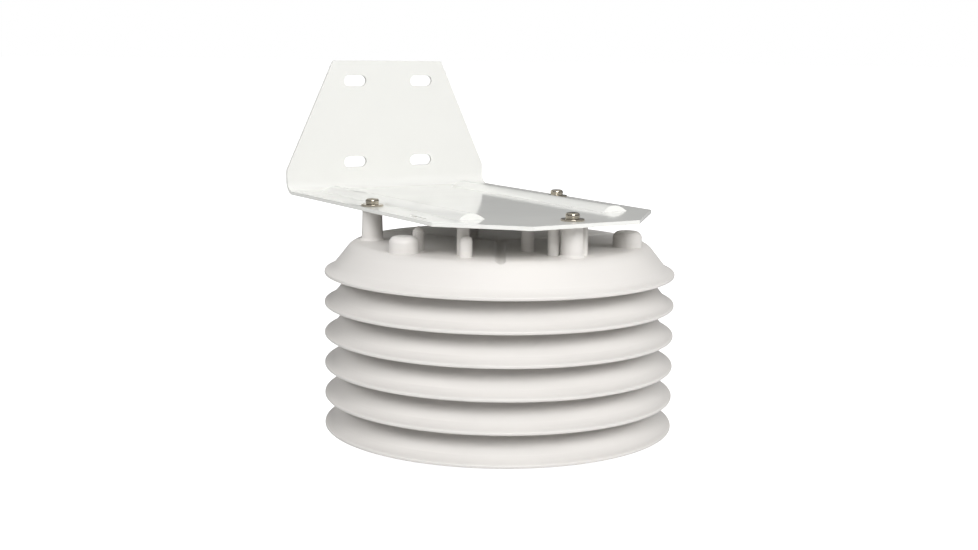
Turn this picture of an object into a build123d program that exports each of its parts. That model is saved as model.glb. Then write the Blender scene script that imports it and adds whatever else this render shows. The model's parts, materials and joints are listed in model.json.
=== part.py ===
from build123d import *
import math
import os

# Passive multi-plate radiation shield for a temperature and humidity sensor, on its bent bracket.
# Millimetres, +Z up. Everything is drawn about the shield's own vertical axis, with Z = 0 at the
# lowest rim, and export() shifts it along Y so that the origin is the bottom centre of the whole part.

# ---- driving dimensions -------------------------------------------------------------------------

RIM_RADIUS = 106.5          # every plate is 213 mm across its rim
PLATE_PITCH = 18.68         # rim to rim
PLATE_COUNT = 6
WALL = 1.8                  # moulded wall
WEB_TOP = 19.02             # top of a plate's flat web above its own rim
SHOULDER_RADIUS = 89.8      # where the cone would meet the web without its rounding
SHOULDER_ROUNDING = 10.0
CONE_RUN_PER_RISE = 0.8
FLARE_CORNER = (102.0, 3.7)  # radius and height where the cone turns out into the rim's flare
FLARE_ROUNDING = 9.0
FLARE_INNER_ROUNDING = 8.0
RIM_TOP_ROUNDING = 0.85
RIM_EDGE_ROUNDING = 0.6
RIM_FOOT_WIDTH = 2.2        # flat ring a plate's rim stands on
RIM_FOOT_ROUNDING = 1.0
RIM_FOOT_HEIGHT = 1.9       # where the inside of the flare runs into the cone
CHAMBER_RADIUS = 36.0       # opening in the louvre plates, round the sensor
CHAMBER_LIP = 4.0

SCREW_CIRCLE_RADIUS = 77.7
SCREW_ANGLES = (150, 30, -90)
SCREW_RADIUS = 2.085        # no. 8 machine screw
CLEARANCE_HOLE_RADIUS = 2.4
POST_BASE_RADIUS = 6.6
POST_TIP_RADIUS = 6.0
POST_SOCKET_RADIUS = 6.25
POST_SOCKET_DEPTH = 1.0
POST_TIP_CHAMFER = 0.3
POST_FOOT_FLARE = 1.5

SHEET = 2.3                 # bracket sheet thickness
BRACKET_HALF_WIDTH = 75.8
BRACKET_UNDERSIDE = 130.7
FLANGE_FRONT = 148.7
BEND_RADIUS = 7.0           # on the inside of the bend
SHEET_CORNER_RADIUS = 2.0
FLANGE_SHOULDER_RADIUS = 6.0
SIDE_END = -51.3            # where the flat plate's sides turn in to the tip
TIP_HALF_WIDTH = 36.0
TIP_END = -92.6
FLANGE_SIDE_TOP = 146.5     # where the flange's sides start to taper
FLANGE_TOP = 219.4
FLANGE_TOP_HALF_WIDTH = 41.6
SLOT_SPACING_X = 50.8
SLOT_SPACING_Z = 55.0
SLOT_CENTRE_Z = 178.4
SLOT_WIDTH = 7.2
SLOT_LENGTH = 16.8

RIB_CENTRE_X = 49.6
RIB_HALF_WIDTH = 8.4
RIB_HEIGHT = 3.5
RIB_FRONT = -50.2
RIB_BACK = 132.0
RIB_END_DRAFT = 20.0        # how far the steep ends lean back from upright

TIE_SLOT_CENTRE = (-70.2, -25.5)  # one slot beside the left edge, for a cable tie
TIE_SLOT_LENGTH = 18.0
TIE_SLOT_WIDTH = 2.4

CHANNEL_WIDTH = 6.4
CHANNEL_DEPTH = 1.4
CHANNEL_ANGLES = (-1.3, 118.7, -121.3)

BOSS_ANGLES = (-165.9, -45.9, 74.1)
BOSS_RADIUS = 8.7
BOSS_HEIGHT = 9.3
BOSS_EDGE = 4.0
BOSS_CIRCLE_RADIUS = 78.4

PEGS = (                    # circle radius, angle, peg radius, height, top edge, coned or rounded
    (65.5, -167.6, 3.45, 13.9, 2.9, "coned"),
    (67.7, -139.5, 3.6, 16.5, 1.5, "rounded"),
    (74.7, -136.4, 3.75, 11.9, 3.0, "rounded"),
    (49.4, -102.8, 3.75, 16.5, 1.5, "rounded"),
    (68.7, -95.2, 3.5, 16.5, 1.5, "rounded"),
    (74.8, -82.6, 3.0, 16.5, 1.0, "rounded"),
    (23.5, 102.0, 3.0, 16.5, 1.0, "rounded"),
)

FLAT_WASHER = (6.8, 2.4, 1.1)    # outer radius, hole radius, thickness
LOCK_WASHER = (3.9, 2.4, 1.1)
HEAD_RADIUS = 4.1
HEAD_HEIGHT = 2.4
HEAD_TOP_ROUNDING = 1.5
HEAD_FOOT_ROUNDING = 0.2
RECESS = (4.2, 0.9, 2.6)         # the cross's length, width, and twice its depth
SCREW_LENGTH = 127.0
SCREW_END_CHAMFER = 0.5
WASHER_EDGE = 0.3
LOCK_WASHER_GAP = 0.5
LOCK_WASHER_GAP_SLOPE = 25

NUT_ACROSS_FLATS = 8.73
NUT_THICKNESS = 3.2
NUT_BORE_RADIUS = 2.15
NUT_POCKET_GAP = 0.05
NUT_BOSS_RADIUS = 7.2
NUT_BOSS_DEPTH = 7.0
NUT_SEAT = 14.2             # height of the nuts' upper faces

GLAND_X = 30.0
GLAND_BORE_RADIUS = 3.2
GLAND_THREAD_RADIUS = 6.0
GLAND_FLATS = 15.0
GLAND_HOLE_FIT = 0.1
GLAND_HEXAGON = 3.5
GLAND_UPPER_THREAD = 6.0
GLAND_LOWER_THREAD = 8.5    # below the web's underside
GLAND_SEAT_RADIUS = 4.8     # the wider bore that holds the seal
GLAND_SEAT_TOP = 4.0        # below the web's underside
GLAND_LOCKNUT = 4.0
LOCKNUT_FIT = 0.05
SEAL_RADIUS = 4.7
SEAL_BORE_RADIUS = 2.4
SEAL_LENGTH = 5.0
DOME_NUT_TOP = 4.2          # below the web's underside
DOME_NUT_LENGTH = 7.4
DOME_LENGTH = 2.6
DOME_RADIUS = 7.2
DOME_ROUNDING = 2.0
DOME_NUT_FIT = 0.08
DOME_NUT_THREAD = 9.4       # how far below the web's underside its thread reaches

STEM_RADIUS = 12.0
STEM_WALL = 2.0
STEM_TOP = 46.0
CARRIER_FLANGE_RADIUS = 20.0
CARRIER_FLANGE = 2.5
CARRIER_FLANGE_ROUNDING = 1.0
CARRIER_SCREW_Y = 16.5
CARRIER_PILOT_RADIUS = 1.3
CARRIER_PILOT_BOSS_RADIUS = 3.2
CARRIER_PILOT_BOSS_DEPTH = 5.0
CARRIER_HOLE_RADIUS = 1.7
CARRIER_SCREW_RADIUS = 1.25
CARRIER_SCREW_REACH = 8.5
CARRIER_SCREW_HEAD = (2.6, 1.8, 0.8)    # radius, height, rounding
CARRIER_SCREW_SLOT = (3.2, 0.6, 1.6)    # length, width, and twice its depth
CABLE_WINDOW = (9.0, 11.0, 29.0)        # width, height and middle of the stem's window
RAIL = (5.0, 7.4)                       # thickness and depth of the rails that hold the board
BOARD_FIT = 0.1
CAP_RADIUS = 13.6
CAP_BOTTOM = 38.0
CAP_TOP = 82.0
CAP_WALL = 1.8
CAP_ROOF = 2.0
CAP_TOP_ROUNDING = 3.0
CAP_THREAD_FIT = 0.08
CAP_SLOT_COUNT = 12
CAP_SLOT = (22.0, 2.6)      # length and width
CAP_SLOT_MIDDLE = 64.0
BOARD_WIDTH = 15.0
BOARD_THICKNESS = 1.6
BOARD_BOTTOM = 24.5
BOARD_TOP = 74.0
HUMIDITY_CHIP = (3.0, 1.1, 66.0, 69.0, -2.5)     # width, depth, bottom, top, and place along Y
HUMIDITY_WINDOW = (0.8, 0.6)                     # radius, and twice its depth
TEMPERATURE_CHIP = (1.8, 0.9, 66.5, 68.5, 3.0)
TERMINAL = (8.0, 6.0, 26.0, 34.0, 0.0)
TERMINAL_WIRE_SPACING = 2.4
TERMINAL_WIRE_HOLE = (4.0, 1.6, 2.2)
TERMINAL_WIRE_HEIGHT = 28.5

# ---- values worked out from them ----------------------------------------------------------------

SHEET_TOP = BRACKET_UNDERSIDE + SHEET
FLANGE_BACK = FLANGE_FRONT + SHEET
AXIS_Y = -(FLANGE_BACK - RIM_RADIUS) / 2
TOP_RIM = (PLATE_COUNT - 1) * PLATE_PITCH
TOP_WEB = TOP_RIM + WEB_TOP
BASE_WEB = WEB_TOP
TOP_POST_HEIGHT = BRACKET_UNDERSIDE - TOP_WEB
INNER_POST_HEIGHT = PLATE_PITCH - WALL + POST_SOCKET_DEPTH
HEAD_SEAT = SHEET_TOP + FLAT_WASHER[2] + LOCK_WASHER[2]
WORK = 400.0                # larger than the whole part, for cutting tools


def export(node, *solids):
    """Write one node's STEP file, moved from the shield's axis to the part's origin."""
    moved = [Pos(0, AXIS_Y, 0) * solid for solid in solids]
    shape = moved[0] if len(moved) == 1 else Compound(children=moved)
    export_step(shape, "parts/" + node + ".step")


def polar(radius, degrees):
    """A place on a circle round the shield's axis."""
    angle = math.radians(degrees)
    return Pos(radius * math.cos(angle), radius * math.sin(angle), 0)


def at_gland(solid):
    """Move a solid from the shield's axis to the cable gland's."""
    return Pos(GLAND_X, 0, 0) * solid


def upright(radius, bottom, top):
    """A plain round bar on the Z axis between two heights."""
    return Pos(0, 0, (bottom + top) / 2) * Cylinder(radius, top - bottom)


def ring(outer, inner, bottom, top):
    return upright(outer, bottom, top) - upright(inner, bottom - 1, top + 1)


def hexagon_prism(across_flats, bottom, top):
    outline = RegularPolygon(across_flats / 2, 6, major_radius=False)
    return Pos(0, 0, bottom) * extrude(outline, top - bottom)


def chamfered_hexagon(across_flats, bottom, top):
    """A hexagon with its six corners turned off, as on a nut."""
    corner_radius = across_flats / math.sqrt(3)
    turned = upright(corner_radius, bottom, top)
    turned = chamfer(turned.edges().filter_by(GeomType.CIRCLE), 0.07 * across_flats)
    return hexagon_prism(across_flats, bottom, top) & turned


# ---- the moulded plates -------------------------------------------------------------------------

def cone_radius(height, inset=0.0):
    """Radius of the plate's outer cone at a height above its rim, less a wall taken off it."""
    slant = math.hypot(1, CONE_RUN_PER_RISE)
    return SHOULDER_RADIUS + CONE_RUN_PER_RISE * (WEB_TOP - height) - inset * slant


def bell(hole_radius):
    """A plate's rim, flare, cone and web, turned about the Z axis, with its rim at Z = 0."""
    web_bottom = WEB_TOP - WALL
    outline = [
        (hole_radius, WEB_TOP),
        (SHOULDER_RADIUS, WEB_TOP),
        FLARE_CORNER,
        (RIM_RADIUS, WALL),
        (RIM_RADIUS, 0),
        (RIM_RADIUS - RIM_FOOT_WIDTH, 0),
        (cone_radius(RIM_FOOT_HEIGHT, WALL), RIM_FOOT_HEIGHT),
        (cone_radius(web_bottom, WALL), web_bottom),
        (hole_radius, web_bottom),
    ]
    rounding = [
        0,
        SHOULDER_ROUNDING,
        FLARE_ROUNDING,
        RIM_TOP_ROUNDING,
        RIM_EDGE_ROUNDING,
        RIM_FOOT_ROUNDING,
        FLARE_INNER_ROUNDING,
        SHOULDER_ROUNDING - WALL,
        0,
    ]
    profile = make_face(FilletPolyline(outline, radius=rounding, close=True))
    return revolve(Plane.XZ * profile, Axis.Z)


def envelope():
    """Everything inside a plate's outer surface, to trim what stands under it."""
    outline = [
        (0, WEB_TOP),
        (SHOULDER_RADIUS, WEB_TOP),
        FLARE_CORNER,
        (FLARE_CORNER[0], 0),
        (0, 0),
    ]
    profile = make_face(FilletPolyline(outline, radius=[0, SHOULDER_ROUNDING, 0, 0, 0], close=True))
    return revolve(Plane.XZ * profile, Axis.Z)


def foot_flare(radius, size):
    """The cone that spreads an upright's foot over the web."""
    foot = Cone(radius + size, radius - 0.1, size + 0.4, align=(Align.CENTER, Align.CENTER, Align.MIN))
    return Pos(0, 0, WEB_TOP - 0.4) * foot


def post(height):
    """A spacer post on the web, with draft and a spread foot."""
    body = Pos(0, 0, WEB_TOP - 0.5) * Cone(
        POST_BASE_RADIUS, POST_TIP_RADIUS, height + 0.5, align=(Align.CENTER, Align.CENTER, Align.MIN))
    body = chamfer(body.edges().group_by(Axis.Z)[-1], POST_TIP_CHAMFER)
    return body + foot_flare(POST_BASE_RADIUS, POST_FOOT_FLARE)


def with_posts(plate, height, has_sockets):
    """Add the three posts and their bores, and the sockets that seat the posts below."""
    for angle in SCREW_ANGLES:
        place = polar(SCREW_CIRCLE_RADIUS, angle)
        plate += place * post(height)
        plate -= place * upright(CLEARANCE_HOLE_RADIUS, 0, WEB_TOP + height + 1)
        if has_sockets:
            web_bottom = WEB_TOP - WALL
            plate -= place * upright(POST_SOCKET_RADIUS, web_bottom - 1, web_bottom + POST_SOCKET_DEPTH)
    return plate


def louvre_plate():
    """An open plate: its web has a hole for the sensor chamber, with a lip that keeps rain out."""
    plate = bell(CHAMBER_RADIUS)
    plate += ring(CHAMBER_RADIUS + WALL, CHAMBER_RADIUS, WEB_TOP - WALL, WEB_TOP + CHAMBER_LIP)
    return with_posts(plate, INNER_POST_HEIGHT, True)


def domed_boss():
    """A fat closed boss, hollow from below like all of the moulding."""
    body = upright(BOSS_RADIUS, WEB_TOP - 0.5, WEB_TOP + BOSS_HEIGHT)
    body = fillet(body.edges().group_by(Axis.Z)[-1], BOSS_EDGE)
    hollow = upright(BOSS_RADIUS - WALL, WEB_TOP - WALL - 1, WEB_TOP + BOSS_HEIGHT - WALL)
    hollow = fillet(hollow.edges().group_by(Axis.Z)[-1], BOSS_EDGE - WALL)
    return body, hollow


def peg(radius, height, top_edge, top_form):
    """A small solid peg with a coned or a rounded top."""
    body = upright(radius, WEB_TOP - 0.5, WEB_TOP + height)
    rim = body.edges().group_by(Axis.Z)[-1]
    return chamfer(rim, top_edge) if top_form == "coned" else fillet(rim, top_edge)


def drain_channel():
    """A shallow radial channel along +X, and the rib that carries it under the web."""
    half = CHANNEL_WIDTH / 2
    arc_radius = (half ** 2 + CHANNEL_DEPTH ** 2) / (2 * CHANNEL_DEPTH)
    axis_height = WEB_TOP - CHANNEL_DEPTH + arc_radius
    lay = Pos(RIM_RADIUS / 2, 0, axis_height) * Rot(0, 90, 0)
    groove = lay * Cylinder(arc_radius, RIM_RADIUS)
    rib = lay * Cylinder(arc_radius + WALL, RIM_RADIUS)
    return groove, rib


def top_plate():
    """The weather roof: closed web, three domed bosses, pegs and the Y of drain channels."""
    plate = bell(0)
    groove, rib = drain_channel()
    inside = envelope()
    for angle in CHANNEL_ANGLES:
        plate += (Rot(0, 0, angle) * rib) & inside
    for angle in CHANNEL_ANGLES:
        plate -= Rot(0, 0, angle) * groove
    plate = with_posts(plate, TOP_POST_HEIGHT, True)
    body, hollow = domed_boss()
    for angle in BOSS_ANGLES:
        plate += polar(BOSS_CIRCLE_RADIUS, angle) * body
        plate -= polar(BOSS_CIRCLE_RADIUS, angle) * hollow
    for circle_radius, angle, radius, height, top_edge, top_form in PEGS:
        plate += polar(circle_radius, angle) * peg(radius, height, top_edge, top_form)
    return plate


def second_plate():
    """The second roof: closed, so that still air lies between it and the top plate."""
    return with_posts(bell(0), INNER_POST_HEIGHT, True)


def base_plate():
    """The lowest plate: nut pockets, gland hole and the pilot bosses for the sensor carrier."""
    plate = with_posts(bell(0), INNER_POST_HEIGHT, False)
    web_bottom = WEB_TOP - WALL
    boss_bottom = web_bottom - NUT_BOSS_DEPTH
    pocket_flats = NUT_ACROSS_FLATS + 2 * NUT_POCKET_GAP
    for angle in SCREW_ANGLES:
        place = polar(SCREW_CIRCLE_RADIUS, angle)
        plate += place * upright(NUT_BOSS_RADIUS, boss_bottom, web_bottom + 0.5)
        plate -= place * upright(CLEARANCE_HOLE_RADIUS, 0, WEB_TOP)
        plate -= place * hexagon_prism(pocket_flats, boss_bottom - 1, NUT_SEAT)
    for side in (-1, 1):
        place = Pos(0, side * CARRIER_SCREW_Y, 0)
        boss_foot = web_bottom - CARRIER_PILOT_BOSS_DEPTH
        plate += place * upright(CARRIER_PILOT_BOSS_RADIUS, boss_foot, web_bottom + 0.5)
        plate -= place * upright(CARRIER_PILOT_RADIUS, 0, WEB_TOP + 1)
    plate -= at_gland(upright(GLAND_THREAD_RADIUS + GLAND_HOLE_FIT, 0, WEB_TOP + 1))
    return plate


# ---- the bracket --------------------------------------------------------------------------------

def bent_sheet():
    """The L of the sheet, seen from the side, drawn out over the bracket's full width."""
    front = TIP_END - 5
    path = [
        (front, SHEET_TOP),
        (FLANGE_FRONT, SHEET_TOP),
        (FLANGE_FRONT, FLANGE_TOP + 5),
        (FLANGE_BACK, FLANGE_TOP + 5),
        (FLANGE_BACK, BRACKET_UNDERSIDE),
        (front, BRACKET_UNDERSIDE),
    ]
    rounding = [0, BEND_RADIUS, 0, 0, BEND_RADIUS + SHEET, 0]
    side = make_face(FilletPolyline(path, radius=rounding, close=True))
    return extrude(Plane.YZ * side, BRACKET_HALF_WIDTH, both=True)


def plan_outline():
    """The flat plate's chamfered tip, seen from above."""
    half = BRACKET_HALF_WIDTH
    points = [
        (-half, WORK / 2), (half, WORK / 2), (half, SIDE_END), (TIP_HALF_WIDTH, TIP_END),
        (-TIP_HALF_WIDTH, TIP_END), (-half, SIDE_END),
    ]
    corner = SHEET_CORNER_RADIUS
    return make_face(FilletPolyline(points, radius=[0, 0, corner, corner, corner, corner], close=True))


def flange_outline():
    """The upright flange's trapezoid, seen from the front."""
    half = BRACKET_HALF_WIDTH
    points = [
        (-half, 0), (half, 0), (half, FLANGE_SIDE_TOP), (FLANGE_TOP_HALF_WIDTH, FLANGE_TOP),
        (-FLANGE_TOP_HALF_WIDTH, FLANGE_TOP), (-half, FLANGE_SIDE_TOP),
    ]
    low = FLANGE_SHOULDER_RADIUS
    high = SHEET_CORNER_RADIUS
    return make_face(FilletPolyline(points, radius=[0, 0, low, high, high, low], close=True))


def stiffening_rib():
    """An embossed rib along +Y with a curved back and steep ends."""
    arc_radius = (RIB_HALF_WIDTH ** 2 + RIB_HEIGHT ** 2) / (2 * RIB_HEIGHT)
    length = RIB_BACK - RIB_FRONT
    middle_y = (RIB_BACK + RIB_FRONT) / 2
    axis_height = SHEET_TOP + RIB_HEIGHT - arc_radius
    bar = Pos(0, middle_y, axis_height) * Rot(90, 0, 0) * Cylinder(arc_radius, length)
    outline = Pos(0, middle_y, SHEET_TOP) * Rectangle(2 * arc_radius + 2 * RIB_HEIGHT, length)
    return extrude(outline, RIB_HEIGHT + 1, taper=RIB_END_DRAFT) & bar


def mounting_bracket():
    sheet = bent_sheet()
    sheet = sheet & extrude(plan_outline(), WORK)
    sheet = sheet & extrude(Plane.XZ * flange_outline(), WORK, both=True)
    for side in (-1, 1):
        rib = Pos(side * RIB_CENTRE_X, 0, 0) * stiffening_rib()
        sheet += rib
        sheet -= Pos(0, 0, -SHEET) * rib
    for angle in SCREW_ANGLES:
        hole = upright(CLEARANCE_HOLE_RADIUS, BRACKET_UNDERSIDE - 1, SHEET_TOP + 1)
        sheet -= polar(SCREW_CIRCLE_RADIUS, angle) * hole
    tie_slot = extrude(Rot(0, 0, 90) * SlotOverall(TIE_SLOT_LENGTH, TIE_SLOT_WIDTH), 3 * SHEET, both=True)
    sheet -= Pos(*TIE_SLOT_CENTRE, BRACKET_UNDERSIDE) * tie_slot
    for side in (-1, 1):
        for level in (-1, 1):
            slot = extrude(Plane.XZ * SlotOverall(SLOT_LENGTH, SLOT_WIDTH), 3 * SHEET, both=True)
            x = side * SLOT_SPACING_X / 2
            z = SLOT_CENTRE_Z + level * SLOT_SPACING_Z / 2
            sheet -= Pos(x, FLANGE_FRONT + SHEET / 2, z) * slot
    return sheet


# ---- fasteners ----------------------------------------------------------------------------------

def flat_washer():
    outer, hole, thickness = FLAT_WASHER
    washer = ring(outer, hole, SHEET_TOP, SHEET_TOP + thickness)
    return fillet(washer.edges().group_by(Axis.Z)[-1].sort_by(SortBy.RADIUS)[-1], WASHER_EDGE)


def lock_washer():
    """A split spring washer."""
    outer, hole, thickness = LOCK_WASHER
    bottom = SHEET_TOP + FLAT_WASHER[2]
    washer = ring(outer, hole, bottom, bottom + thickness)
    cut = Rot(LOCK_WASHER_GAP_SLOPE, 0, 0) * Box(2 * outer, LOCK_WASHER_GAP, 3 * thickness)
    return washer - Pos(outer, 0, bottom + thickness / 2) * cut


def stack_screw():
    """A pan-head machine screw that clamps bracket and plates together."""
    head = upright(HEAD_RADIUS, HEAD_SEAT, HEAD_SEAT + HEAD_HEIGHT)
    head = fillet(head.edges().group_by(Axis.Z)[-1], HEAD_TOP_ROUNDING)
    head = fillet(head.edges().group_by(Axis.Z)[0], HEAD_FOOT_ROUNDING)
    for turn in (0, 90):
        head -= Pos(0, 0, HEAD_SEAT + HEAD_HEIGHT) * Rot(0, 0, turn) * Box(*RECESS)
    shank = upright(SCREW_RADIUS, HEAD_SEAT - SCREW_LENGTH, HEAD_SEAT + 0.5)
    shank = chamfer(shank.edges().group_by(Axis.Z)[0], SCREW_END_CHAMFER)
    return head + shank


def hex_nut():
    nut = chamfered_hexagon(NUT_ACROSS_FLATS, NUT_SEAT - NUT_THICKNESS, NUT_SEAT)
    return nut - upright(NUT_BORE_RADIUS, 0, NUT_SEAT + 1)


# ---- the sensor ---------------------------------------------------------------------------------

def sensor_carrier():
    """Foot flange and tubular stem; a window faces the cable gland, and two slots grip the board."""
    foot_top = BASE_WEB + CARRIER_FLANGE
    carrier = upright(CARRIER_FLANGE_RADIUS, BASE_WEB, foot_top)
    carrier = fillet(carrier.edges().group_by(Axis.Z)[-1], CARRIER_FLANGE_ROUNDING)
    carrier += upright(STEM_RADIUS, BASE_WEB, STEM_TOP)
    inner_radius = STEM_RADIUS - STEM_WALL
    carrier -= upright(inner_radius, foot_top, STEM_TOP + 1)
    window_width, window_height, window_middle = CABLE_WINDOW
    carrier -= Pos(STEM_RADIUS, 0, window_middle) * Box(STEM_RADIUS, window_width, window_height)
    rail_thickness, rail_depth = RAIL
    for side in (-1, 1):
        rail = Box(rail_thickness, rail_depth, STEM_TOP - foot_top)
        rail = Pos(0, side * inner_radius, (foot_top + STEM_TOP) / 2) * rail
        carrier += rail & upright(STEM_RADIUS - 0.5, foot_top, STEM_TOP)
    board_slot = Box(BOARD_THICKNESS + BOARD_FIT, BOARD_WIDTH + BOARD_FIT, WORK - BOARD_BOTTOM)
    carrier -= Pos(0, 0, (BOARD_BOTTOM + WORK) / 2) * board_slot
    for side in (-1, 1):
        carrier -= Pos(0, side * CARRIER_SCREW_Y, 0) * upright(CARRIER_HOLE_RADIUS, 0, foot_top + 1)
    return carrier


def carrier_screw():
    foot_top = BASE_WEB + CARRIER_FLANGE
    radius, height, rounding = CARRIER_SCREW_HEAD
    head = upright(radius, foot_top, foot_top + height)
    head = fillet(head.edges().group_by(Axis.Z)[-1], rounding)
    head -= Pos(0, 0, foot_top + height) * Box(*CARRIER_SCREW_SLOT)
    return head + upright(CARRIER_SCREW_RADIUS, foot_top - CARRIER_SCREW_REACH, foot_top + 0.2)


def circuit_board():
    height = BOARD_TOP - BOARD_BOTTOM
    return Pos(0, 0, BOARD_BOTTOM + height / 2) * Box(BOARD_THICKNESS, BOARD_WIDTH, height)


def on_board(width, depth, bottom, top, y):
    """A component that stands on the board's +X face."""
    x = BOARD_THICKNESS / 2 + depth / 2
    return Pos(x, y, (bottom + top) / 2) * Box(depth, width, top - bottom)


def humidity_sensor():
    width, depth, bottom, top, y = HUMIDITY_CHIP
    face = BOARD_THICKNESS / 2 + depth
    window = Pos(face, y, (bottom + top) / 2) * Rot(0, 90, 0) * Cylinder(*HUMIDITY_WINDOW)
    return on_board(width, depth, bottom, top, y) - window


def temperature_sensor():
    return on_board(*TEMPERATURE_CHIP)


def cable_terminal():
    block = on_board(*TERMINAL)
    face = BOARD_THICKNESS / 2 + TERMINAL[1]
    for step in (-1, 0, 1):
        place = Pos(face, step * TERMINAL_WIRE_SPACING, TERMINAL_WIRE_HEIGHT)
        block -= place * Box(*TERMINAL_WIRE_HOLE)
    return block


def filter_cap():
    """A screw cap with slots all round that lets air, but not drops, reach the sensors."""
    cap = upright(CAP_RADIUS, CAP_BOTTOM, CAP_TOP)
    cap = fillet(cap.edges().group_by(Axis.Z)[-1], CAP_TOP_ROUNDING)
    cap -= upright(STEM_RADIUS + CAP_THREAD_FIT, CAP_BOTTOM - 1, STEM_TOP + 1.0)
    cap -= upright(CAP_RADIUS - CAP_WALL, STEM_TOP, CAP_TOP - CAP_ROOF)
    window = Rot(0, 90, 0) * extrude(SlotOverall(*CAP_SLOT), 2 * CAP_WALL, both=True)
    for step in range(CAP_SLOT_COUNT):
        turn = Rot(0, 0, step * 360 / CAP_SLOT_COUNT)
        cap -= turn * Pos(CAP_RADIUS, 0, CAP_SLOT_MIDDLE) * window
    return cap


# ---- the cable gland ----------------------------------------------------------------------------

def gland_body():
    """Hexagon under the web, thread through it, and a longer thread for the dome nut below."""
    web_bottom = WEB_TOP - WALL
    body = chamfered_hexagon(GLAND_FLATS, web_bottom - GLAND_HEXAGON, web_bottom)
    body += upright(GLAND_THREAD_RADIUS, web_bottom - 0.5, WEB_TOP + GLAND_UPPER_THREAD)
    body += upright(GLAND_THREAD_RADIUS, web_bottom - GLAND_LOWER_THREAD, web_bottom - 0.5)
    body -= upright(GLAND_BORE_RADIUS, 0, WORK)
    body -= upright(GLAND_SEAT_RADIUS, 0, web_bottom - GLAND_SEAT_TOP)
    return at_gland(body)


def gland_locknut():
    nut = chamfered_hexagon(GLAND_FLATS, WEB_TOP, WEB_TOP + GLAND_LOCKNUT)
    return at_gland(nut - upright(GLAND_THREAD_RADIUS + LOCKNUT_FIT, 0, WORK))


def gland_seal():
    """The rubber sleeve that grips the cable inside the gland."""
    top = WEB_TOP - WALL - GLAND_SEAT_TOP
    return at_gland(ring(SEAL_RADIUS, SEAL_BORE_RADIUS, top - SEAL_LENGTH, top))


def gland_nut():
    """The dome nut that squeezes the seal; it turns on the gland body's lower thread."""
    web_bottom = WEB_TOP - WALL
    top = web_bottom - DOME_NUT_TOP
    bottom = top - DOME_NUT_LENGTH
    shoulder = bottom + DOME_LENGTH
    nut = chamfered_hexagon(GLAND_FLATS, shoulder, top)
    dome = upright(DOME_RADIUS, bottom, shoulder + 1.0)
    nut += fillet(dome.edges().group_by(Axis.Z)[0], DOME_ROUNDING)
    nut -= upright(GLAND_THREAD_RADIUS + DOME_NUT_FIT, web_bottom - DOME_NUT_THREAD, top + 1)
    nut -= upright(GLAND_BORE_RADIUS, 0, WORK)
    return at_gland(nut)


# ---- write every node ---------------------------------------------------------------------------

os.makedirs("parts", exist_ok=True)

export("mounting_bracket", mounting_bracket())
export("top_plate", Pos(0, 0, TOP_RIM) * top_plate())
export("second_plate", Pos(0, 0, TOP_RIM - PLATE_PITCH) * second_plate())
open_plate = louvre_plate()
for number in (3, 4, 5):
    rim_height = (PLATE_COUNT - number) * PLATE_PITCH
    export("louvre_plate_" + str(number), Pos(0, 0, rim_height) * open_plate)
export("base_plate", base_plate())

for number, angle in enumerate(SCREW_ANGLES, start=1):
    place = polar(SCREW_CIRCLE_RADIUS, angle)
    export("stack_screw_" + str(number), place * stack_screw())
    export("flat_washer_" + str(number), place * flat_washer())
    export("lock_washer_" + str(number), place * Rot(0, 0, 40 * number) * lock_washer())
    export("hex_nut_" + str(number), place * hex_nut())

export("sensor_carrier", sensor_carrier())
export("carrier_screws", *[Pos(0, side * CARRIER_SCREW_Y, 0) * carrier_screw() for side in (-1, 1)])
export("circuit_board", circuit_board())
export("humidity_sensor", humidity_sensor())
export("temperature_sensor", temperature_sensor())
export("cable_terminal", cable_terminal())
export("filter_cap", filter_cap())
export("gland_body", gland_body())
export("gland_locknut", gland_locknut())
export("gland_seal", gland_seal())
export("gland_nut", gland_nut())
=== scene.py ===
import json
import math

import bmesh
import bpy
from mathutils import Matrix, Vector


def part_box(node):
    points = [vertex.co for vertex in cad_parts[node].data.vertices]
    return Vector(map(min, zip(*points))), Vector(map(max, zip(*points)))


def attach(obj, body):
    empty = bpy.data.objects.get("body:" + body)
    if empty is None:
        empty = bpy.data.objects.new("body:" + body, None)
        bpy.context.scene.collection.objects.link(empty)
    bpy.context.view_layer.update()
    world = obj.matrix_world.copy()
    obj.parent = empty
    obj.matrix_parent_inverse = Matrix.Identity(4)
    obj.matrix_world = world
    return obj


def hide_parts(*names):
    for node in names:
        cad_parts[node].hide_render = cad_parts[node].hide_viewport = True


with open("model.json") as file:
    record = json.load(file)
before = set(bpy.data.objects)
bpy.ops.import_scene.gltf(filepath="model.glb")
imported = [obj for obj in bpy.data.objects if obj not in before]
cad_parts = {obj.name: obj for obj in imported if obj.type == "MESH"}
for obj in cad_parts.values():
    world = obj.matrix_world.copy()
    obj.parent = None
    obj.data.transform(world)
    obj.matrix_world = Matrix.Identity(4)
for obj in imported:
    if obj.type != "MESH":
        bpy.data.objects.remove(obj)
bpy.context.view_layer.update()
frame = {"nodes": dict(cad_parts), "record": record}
nodes = frame["nodes"]

# ---- places read from the frame ---------------------------------------------------------------------

plate_low, plate_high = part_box("base_plate")
AXIS_X = (plate_low.x + plate_high.x) / 2
AXIS_Y = (plate_low.y + plate_high.y) / 2
BASE_Z = plate_low.z

# ---- camera, as found from the object's own proportions ---------------------------------------------

CAMERA_AZIMUTH = -31.635      # degrees, from in front of the bracket's tip
CAMERA_DISTANCE = 0.8587      # metres, level, from the shield's axis
CAMERA_HEIGHT = 0.2254        # metres, above the CAD origin
CAMERA_YAW = 0.424            # degrees, to the left of the shield's axis
CAMERA_PITCH = -8.889         # degrees from level, below zero for downwards
CAMERA_ROLL = 0.662           # degrees, round the line of sight
FOCAL_LENGTH = 52.2           # millimetres
SENSOR_WIDTH = 36             # millimetres
NEAREST_SEEN = 0.01           # metres


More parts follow.
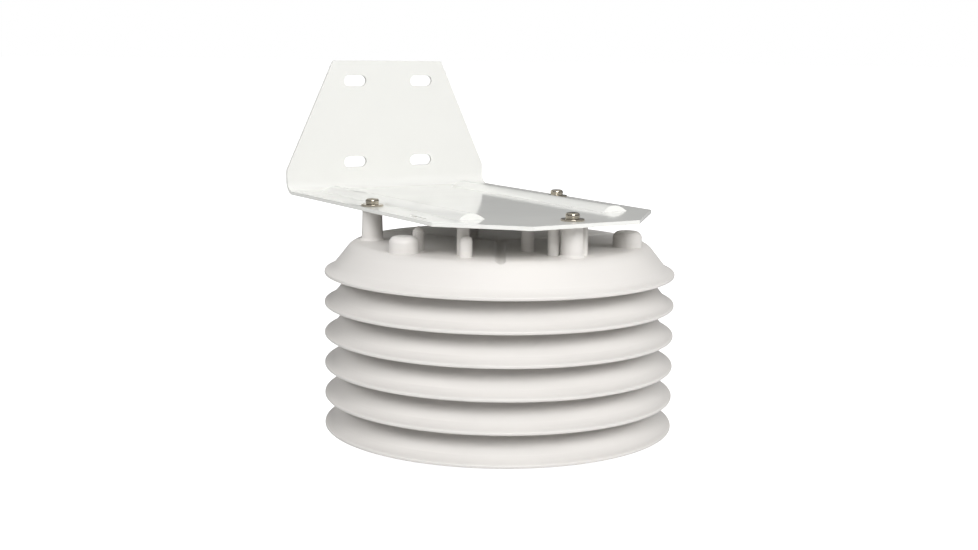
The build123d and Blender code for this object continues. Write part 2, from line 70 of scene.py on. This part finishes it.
def add_camera():
    """Stand the camera at its azimuth, distance and height, and make it the scene's own."""
    turn = math.radians(CAMERA_AZIMUTH)
    place = Vector((
        AXIS_X + CAMERA_DISTANCE * math.sin(turn),
        AXIS_Y - CAMERA_DISTANCE * math.cos(turn),
        CAMERA_HEIGHT,
    ))
    heading = Matrix.Rotation(math.radians(CAMERA_AZIMUTH + CAMERA_YAW), 4, "Z")
    tilt = Matrix.Rotation(math.radians(90 + CAMERA_PITCH), 4, "X")
    roll = Matrix.Rotation(math.radians(CAMERA_ROLL), 4, "Z")
    data = bpy.data.cameras.new("camera")
    data.lens = FOCAL_LENGTH
    data.sensor_width = SENSOR_WIDTH
    data.clip_start = NEAREST_SEEN
    camera = bpy.data.objects.new("camera", data)
    bpy.context.collection.objects.link(camera)
    camera.matrix_world = Matrix.Translation(place) @ heading @ tilt @ roll
    bpy.context.scene.camera = camera


# ---- detail, in metres and radians ------------------------------------------------------------------

WELD_DISTANCE = 0.000002        # points nearer than this are one point
SHARP_ANGLE = math.radians(32)  # edges from this angle up stay crisp
FLAT_ANGLE = math.radians(0.4)  # faces that meet flatter than this become one
BEVEL_ANGLE = math.radians(50)  # the bracket's edges from this angle up are broken
EDGE_BREAK = 0.0004
EDGE_BREAK_STEPS = 2

THREAD_RADIUS = 0.002085
THREAD_PITCH = 0.000794
THREAD_DEPTH = 0.0004
THREAD_LENGTH = 0.019
THREAD_RUN_OUT = 2 * THREAD_PITCH
THREAD_STEPS = 6                # rings in each pitch
THREAD_CORNERS = 24             # points in each ring
TIP_CHAMFER = 0.0005
STACK_SCREWS = (1, 2, 3)

# ---- floor and light --------------------------------------------------------------------------------

# The shield hangs, and its base plate slides down. The floor leaves room for that.
FLOOR_GAP = 0.030
FLOOR_RADIUS = 40.0
FLOOR_CORNERS = 96
FLOOR_COLOUR = (0.6, 0.6, 0.6)
FLOOR_ROUGHNESS = 0.9
FLOOR_SPECULAR = 0.1
WHITE = (1, 1, 1, 1)

# All softboxes face this height on the shield's axis, and only one shows in glossy surfaces.
LIGHT_TARGET_Z = 0.1
MIRRORED_SOFTBOX = "key"

# Each softbox: name, azimuth and elevation in degrees, distance and width in metres, power in watts.
SOFTBOXES = [
    ("key", -20, 34, 2.0, 1.1, 28.5),
    ("left", -100, 30, 2.0, 0.9, 12.5),
    ("right", 50, 24, 2.0, 0.9, 12),
    ("back", 155, 45, 2.0, 1.0, 6),
    ("low", 0, -50, 1.5, 1.0, 1.5),
]

# The dome's greys: how far up a ray points, from 0 straight down to 1 straight up, and the level.
DOME_LIGHT = [(0.0, 0.06), (0.5, 0.06), (0.65, 0.15), (1.0, 0.35)]
DOME_MIRRORED = [(0.0, 0.12), (0.5, 0.12), (0.62, 0.20), (1.0, 0.60)]

# ---- materials --------------------------------------------------------------------------------------

# A noise texture lies mostly between these two values, so its drift is spread over them.
NOISE_LOW = 0.3
NOISE_HIGH = 0.7


def principled(name, colour, roughness, metallic=0.0):
    """A new material with its principled shader set to plain values."""
    material = bpy.data.materials.new(name)
    material.use_nodes = True
    shader = material.node_tree.nodes["Principled BSDF"]
    shader.inputs["Base Color"].default_value = (*colour, 1)
    shader.inputs["Roughness"].default_value = roughness
    shader.inputs["Metallic"].default_value = metallic
    return material, shader


def object_noise(material, scale, detail):
    """A noise texture in the object's own metres."""
    tree = material.node_tree
    place = tree.nodes.new("ShaderNodeTexCoord")
    noise = tree.nodes.new("ShaderNodeTexNoise")
    noise.inputs["Scale"].default_value = scale
    noise.inputs["Detail"].default_value = detail
    tree.links.new(place.outputs["Object"], noise.inputs["Vector"])
    return noise


def vary_colour(material, shader, dark, light, scale):
    """Let the base colour drift between two close tones."""
    tree = material.node_tree
    noise = object_noise(material, scale, detail=3.0)
    ramp = tree.nodes.new("ShaderNodeValToRGB")
    low_end, high_end = ramp.color_ramp.elements
    low_end.position = NOISE_LOW
    low_end.color = (*dark, 1)
    high_end.position = NOISE_HIGH
    high_end.color = (*light, 1)
    tree.links.new(noise.outputs["Fac"], ramp.inputs["Fac"])
    tree.links.new(ramp.outputs["Color"], shader.inputs["Base Color"])


def vary_roughness(material, shader, low, high, scale):
    """Let the roughness drift between two values."""
    tree = material.node_tree
    noise = object_noise(material, scale, detail=3.0)
    spread = tree.nodes.new("ShaderNodeMapRange")
    spread.inputs["From Min"].default_value = NOISE_LOW
    spread.inputs["From Max"].default_value = NOISE_HIGH
    spread.inputs["To Min"].default_value = low
    spread.inputs["To Max"].default_value = high
    tree.links.new(noise.outputs["Fac"], spread.inputs["Value"])
    tree.links.new(spread.outputs["Result"], shader.inputs["Roughness"])


def add_grain(material, shader, scale, depth, strength):
    """Add a fine surface texture as bump; the depth is in metres."""
    tree = material.node_tree
    noise = object_noise(material, scale, detail=2.0)
    bump = tree.nodes.new("ShaderNodeBump")
    bump.inputs["Strength"].default_value = strength
    bump.inputs["Distance"].default_value = depth
    tree.links.new(noise.outputs["Fac"], bump.inputs["Height"])
    tree.links.new(bump.outputs["Normal"], shader.inputs["Normal"])


def plate_plastic():
    """Moulded white louvre plastic, slightly warm."""
    material, shader = principled("plate_plastic", (0.735, 0.712, 0.685), roughness=0.45)
    vary_colour(material, shader, dark=(0.725, 0.702, 0.675), light=(0.745, 0.722, 0.695), scale=14)
    vary_roughness(material, shader, low=0.38, high=0.52, scale=40)
    add_grain(material, shader, scale=1500, depth=0.00006, strength=0.5)
    return material


def bracket_paint():
    """Gloss white powder coat with a faint ripple."""
    material, shader = principled("bracket_paint", (0.82, 0.82, 0.79), roughness=0.1)
    vary_colour(material, shader, dark=(0.81, 0.81, 0.78), light=(0.83, 0.83, 0.80), scale=9)
    vary_roughness(material, shader, low=0.07, high=0.12, scale=30)
    add_grain(material, shader, scale=260, depth=0.00004, strength=0.25)
    return material


def plated_steel():
    """Bright plated steel, slightly yellow."""
    material, shader = principled(
        "plated_steel", (0.58, 0.53, 0.44), roughness=0.2, metallic=1.0)
    vary_colour(material, shader, dark=(0.54, 0.49, 0.40), light=(0.62, 0.57, 0.48), scale=400)
    vary_roughness(material, shader, low=0.12, high=0.26, scale=700)
    add_grain(material, shader, scale=2500, depth=0.00001, strength=0.3)
    return material


def carrier_plastic():
    """Neutral white moulded plastic of the sensor carrier and its cap."""
    material, shader = principled("carrier_plastic", (0.76, 0.76, 0.74), roughness=0.45)
    vary_colour(material, shader, dark=(0.74, 0.74, 0.72), light=(0.78, 0.78, 0.76), scale=60)
    add_grain(material, shader, scale=1800, depth=0.00004, strength=0.5)
    return material


def board_laminate():
    """Green solder mask of the circuit board."""
    material, shader = principled("board_laminate", (0.02, 0.12, 0.05), roughness=0.3)
    vary_colour(material, shader, dark=(0.015, 0.10, 0.04), light=(0.03, 0.15, 0.065), scale=220)
    add_grain(material, shader, scale=900, depth=0.00003, strength=0.5)
    return material


def chip_black():
    """Moulding compound of the sensors."""
    material, shader = principled("chip_black", (0.02, 0.02, 0.02), roughness=0.5)
    vary_colour(
        material, shader, dark=(0.015, 0.015, 0.015), light=(0.03, 0.03, 0.03), scale=900)
    add_grain(material, shader, scale=6000, depth=0.00001, strength=0.5)
    return material


def terminal_plastic():
    """Green plastic of the cable terminal."""
    material, shader = principled("terminal_plastic", (0.03, 0.16, 0.06), roughness=0.4)
    vary_colour(material, shader, dark=(0.025, 0.14, 0.05), light=(0.04, 0.18, 0.07), scale=300)
    add_grain(material, shader, scale=2500, depth=0.00002, strength=0.5)
    return material


def gland_plastic():
    """Black plastic of the cable gland."""
    material, shader = principled("gland_plastic", (0.025, 0.025, 0.028), roughness=0.5)
    vary_colour(
        material, shader, dark=(0.02, 0.02, 0.022), light=(0.035, 0.035, 0.038), scale=250)
    add_grain(material, shader, scale=2200, depth=0.00004, strength=0.6)
    return material


def seal_rubber():
    """Matt black rubber of the gland's seal."""
    material, shader = principled("seal_rubber", (0.02, 0.02, 0.02), roughness=0.8)
    vary_colour(
        material, shader, dark=(0.015, 0.015, 0.015), light=(0.03, 0.03, 0.03), scale=400)
    add_grain(material, shader, scale=3000, depth=0.00004, strength=0.6)
    return material


MATERIALS = {
    "plate_plastic": plate_plastic(),
    "bracket_paint": bracket_paint(),
    "plated_steel": plated_steel(),
    "carrier_plastic": carrier_plastic(),
    "board_laminate": board_laminate(),
    "chip_black": chip_black(),
    "terminal_plastic": terminal_plastic(),
    "gland_plastic": gland_plastic(),
    "seal_rubber": seal_rubber(),
}


def paint_cad_nodes():
    """Give every carried-over CAD node the finish of its slot in the record."""
    for row in frame["record"]["subparts"]:
        node = nodes[row["node"]]
        for slot in node.material_slots:
            slot.material = MATERIALS[row["material_slot"]]


# ---- pieces with more detail than their CAD nodes ---------------------------------------------------

def body_of(node_name):
    """The name of the body that a CAD node belongs to."""
    for body, members in frame["record"]["behaviour"]["bodies"].items():
        if node_name in members:
            return body
    raise ValueError(node_name)


def new_piece(name, mesh, node_name, slot):
    """Put a detailed piece in the place of one CAD node, on that node's body."""
    piece = bpy.data.objects.new(name, mesh)
    bpy.context.collection.objects.link(piece)
    mesh.materials.clear()
    mesh.materials.append(MATERIALS[slot])
    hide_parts(node_name)
    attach(piece, body_of(node_name))
    return piece


def welded_copy(node_name):
    """A node's mesh in bmesh form, with its doubled points joined."""
    shape = bmesh.new()
    shape.from_mesh(nodes[node_name].data)
    bmesh.ops.remove_doubles(shape, verts=shape.verts, dist=WELD_DISTANCE)
    return shape


def smooth_by_angle(shape):
    """Shade every face smooth, with a crisp edge wherever two faces meet sharply."""
    for face in shape.faces:
        face.smooth = True
    for edge in shape.edges:
        if len(edge.link_faces) == 2:
            edge.smooth = edge.calc_face_angle() < SHARP_ANGLE


def add_painted_bracket():
    """The bracket with its sheared edges broken, as they are under a powder coat."""
    shape = welded_copy("mounting_bracket")
    bmesh.ops.dissolve_limit(
        shape, angle_limit=FLAT_ANGLE, verts=shape.verts, edges=shape.edges)
    smooth_by_angle(shape)
    mesh = bpy.data.meshes.new("bracket_painted")
    shape.to_mesh(mesh)
    shape.free()
    bracket = new_piece("bracket_painted", mesh, "mounting_bracket", "bracket_paint")
    edge = bracket.modifiers.new("broken_edges", "BEVEL")
    edge.width = EDGE_BREAK
    edge.segments = EDGE_BREAK_STEPS
    edge.limit_method = "ANGLE"
    edge.angle_limit = BEVEL_ANGLE
    edge.harden_normals = True


def thread_radius(height, turn):
    """Radius of the screw's thread at a height above its end and a turn round its axis."""
    phase = (height / THREAD_PITCH - turn / math.tau) % 1
    groove = THREAD_DEPTH * (1 - abs(2 * phase - 1))
    run_out = min(1, max(0, (THREAD_LENGTH - height) / THREAD_RUN_OUT))
    tip_limit = THREAD_RADIUS - TIP_CHAMFER + height
    return min(THREAD_RADIUS - groove * run_out, tip_limit)


def add_thread_rings(shape, end_point):
    """The rings of points that wind the thread up from the screw's end."""
    ring_count = round(THREAD_LENGTH / THREAD_PITCH * THREAD_STEPS)
    rings = []
    for step in range(ring_count + 1):
        height = THREAD_LENGTH * step / ring_count
        ring = []
        for corner in range(THREAD_CORNERS):
            turn = math.tau * corner / THREAD_CORNERS
            radius = thread_radius(height, turn)
            offset = Vector((radius * math.cos(turn), radius * math.sin(turn), height))
            ring.append(shape.verts.new(end_point + offset))
        rings.append(ring)
    return rings


def add_threaded_screw(number):
    """A stack screw whose lower end carries a real thread."""
    node_name = "stack_screw_" + str(number)
    piece_name = "screw_threaded_" + str(number)
    low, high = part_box(node_name)
    end_point = Vector(((low.x + high.x) / 2, (low.y + high.y) / 2, low.z))
    shape = welded_copy(node_name)
    whole = shape.verts[:] + shape.edges[:] + shape.faces[:]
    thread_top = end_point + Vector((0, 0, THREAD_LENGTH))
    bmesh.ops.bisect_plane(
        shape, geom=whole, plane_co=thread_top, plane_no=(0, 0, 1), clear_inner=True)
    rings = add_thread_rings(shape, end_point)
    for lower, upper in zip(rings, rings[1:]):
        for corner in range(THREAD_CORNERS):
            after = (corner + 1) % THREAD_CORNERS
            shape.faces.new((lower[corner], lower[after], upper[after], upper[corner]))
    shape.faces.new(rings[0][::-1])
    smooth_by_angle(shape)
    mesh = bpy.data.meshes.new(piece_name)
    shape.to_mesh(mesh)
    shape.free()
    new_piece(piece_name, mesh, node_name, "plated_steel")


# ---- stage ------------------------------------------------------------------------------------------

def floor_material():
    """Evenly white to the camera; from underneath it is clear and lets light through."""
    material, shader = principled("floor", FLOOR_COLOUR, FLOOR_ROUGHNESS)
    shader.inputs["Specular IOR Level"].default_value = FLOOR_SPECULAR
    shader.inputs["Emission Color"].default_value = WHITE
    tree = material.node_tree
    ray = tree.nodes.new("ShaderNodeLightPath")
    tree.links.new(ray.outputs["Is Camera Ray"], shader.inputs["Emission Strength"])
    side = tree.nodes.new("ShaderNodeNewGeometry")
    see_through = tree.nodes.new("ShaderNodeMath")
    see_through.operation = "MAXIMUM"
    tree.links.new(side.outputs["Backfacing"], see_through.inputs[0])
    tree.links.new(ray.outputs["Is Shadow Ray"], see_through.inputs[1])
    clear = tree.nodes.new("ShaderNodeBsdfTransparent")
    blend = tree.nodes.new("ShaderNodeMixShader")
    tree.links.new(see_through.outputs["Value"], blend.inputs["Fac"])
    tree.links.new(shader.outputs["BSDF"], blend.inputs[1])
    tree.links.new(clear.outputs["BSDF"], blend.inputs[2])
    tree.links.new(blend.outputs["Shader"], tree.nodes["Material Output"].inputs["Surface"])
    return material


def add_floor():
    """A wide round floor, so wide that it shows no edge."""
    mesh = bpy.data.meshes.new("floor")
    shape = bmesh.new()
    bmesh.ops.create_circle(shape, cap_ends=True, segments=FLOOR_CORNERS, radius=FLOOR_RADIUS)
    for face in shape.faces:
        if face.normal.z < 0:
            face.normal_flip()
    shape.to_mesh(mesh)
    shape.free()
    mesh.materials.append(floor_material())
    floor = bpy.data.objects.new("floor", mesh)
    floor.location = (0, 0, BASE_Z - FLOOR_GAP)
    bpy.context.collection.objects.link(floor)


def sky_level(tree, place, stops):
    """A grey that changes with how far up a ray points, from 0 straight down to 1 straight up."""
    split = tree.nodes.new("ShaderNodeSeparateXYZ")
    spread = tree.nodes.new("ShaderNodeMapRange")
    spread.inputs["From Min"].default_value = -1
    spread.inputs["From Max"].default_value = 1
    ramp = tree.nodes.new("ShaderNodeValToRGB")
    while len(ramp.color_ramp.elements) < len(stops):
        ramp.color_ramp.elements.new(0.5)
    for element, (position, level) in zip(ramp.color_ramp.elements, stops):
        element.position = position
        element.color = (level, level, level, 1)
    tree.links.new(place.outputs["Generated"], split.inputs["Vector"])
    tree.links.new(split.outputs["Z"], spread.inputs["Value"])
    tree.links.new(spread.outputs["Result"], ramp.inputs["Fac"])
    return ramp.outputs["Color"]


def add_world():
    """A white backdrop to look at, a soft dim dome for light, and a banded room for gloss to mirror."""
    world = bpy.data.worlds.new("studio")
    bpy.context.scene.world = world
    world.use_nodes = True
    tree = world.node_tree
    background = tree.nodes["Background"]
    place = tree.nodes.new("ShaderNodeTexCoord")
    ray = tree.nodes.new("ShaderNodeLightPath")
    soft = sky_level(tree, place, DOME_LIGHT)
    mirrored = sky_level(tree, place, DOME_MIRRORED)
    gloss = tree.nodes.new("ShaderNodeMix")
    gloss.data_type = "RGBA"
    seen = tree.nodes.new("ShaderNodeMix")
    seen.data_type = "RGBA"
    seen.inputs["B"].default_value = WHITE
    tree.links.new(ray.outputs["Is Glossy Ray"], gloss.inputs["Factor"])
    tree.links.new(soft, gloss.inputs["A"])
    tree.links.new(mirrored, gloss.inputs["B"])
    tree.links.new(ray.outputs["Is Camera Ray"], seen.inputs["Factor"])
    tree.links.new(gloss.outputs["Result"], seen.inputs["A"])
    tree.links.new(seen.outputs["Result"], background.inputs["Color"])
    background.inputs["Strength"].default_value = 1.0


def add_softbox(name, azimuth, elevation, distance, width, power):
    """A round soft light that faces the shield; azimuth is counted like the camera's."""
    turn = math.radians(azimuth)
    lift = math.radians(elevation)
    target = Vector((AXIS_X, AXIS_Y, LIGHT_TARGET_Z))
    place = Vector((
        AXIS_X + distance * math.cos(lift) * math.sin(turn),
        AXIS_Y - distance * math.cos(lift) * math.cos(turn),
        LIGHT_TARGET_Z + distance * math.sin(lift),
    ))
    data = bpy.data.lights.new(name, "AREA")
    data.shape = "DISK"
    data.size = width
    data.energy = power
    light = bpy.data.objects.new(name, data)
    light.visible_glossy = name == MIRRORED_SOFTBOX
    light.location = place
    light.rotation_euler = (target - place).to_track_quat("-Z", "Y").to_euler()
    bpy.context.collection.objects.link(light)


# ---- the scene --------------------------------------------------------------------------------------

add_camera()
paint_cad_nodes()
add_painted_bracket()
for screw_number in STACK_SCREWS:
    add_threaded_screw(screw_number)
add_floor()
add_world()
for softbox in SOFTBOXES:
    add_softbox(*softbox)

scene = bpy.context.scene
scene.view_settings.view_transform = "Standard"
